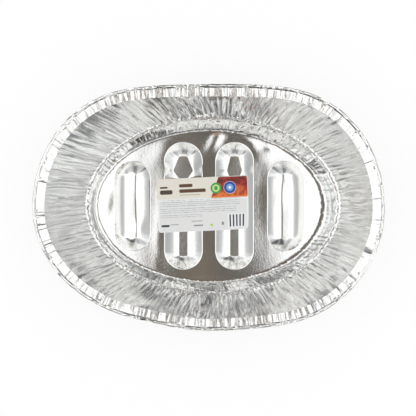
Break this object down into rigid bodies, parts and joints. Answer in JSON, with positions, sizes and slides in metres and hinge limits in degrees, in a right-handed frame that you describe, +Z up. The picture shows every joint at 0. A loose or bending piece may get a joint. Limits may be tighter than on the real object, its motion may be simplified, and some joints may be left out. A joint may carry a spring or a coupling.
{
  "type": "foil roasting pan",
  "caption": "Large oval roasting pan pressed from aluminium foil, with a gathered wall, a rolled rim and long ribs across its floor, and a loose paper label inside.",
  "frame": {"origin": "on the surface that the pan stands on, below the middle of its floor", "axes": "+X along the pan's length, +Y across it towards its back, +Z up"},
  "size_m": [0.4996, 0.3498, 0.072],
  "materials": {
    "foil": "bright rolled",
    "label_paper": "semi-gloss print"
  },
  "bodies": {
    "root": {"foil_pan": "foil", "paper_label": "label_paper"}
  },
  "joints": []
}
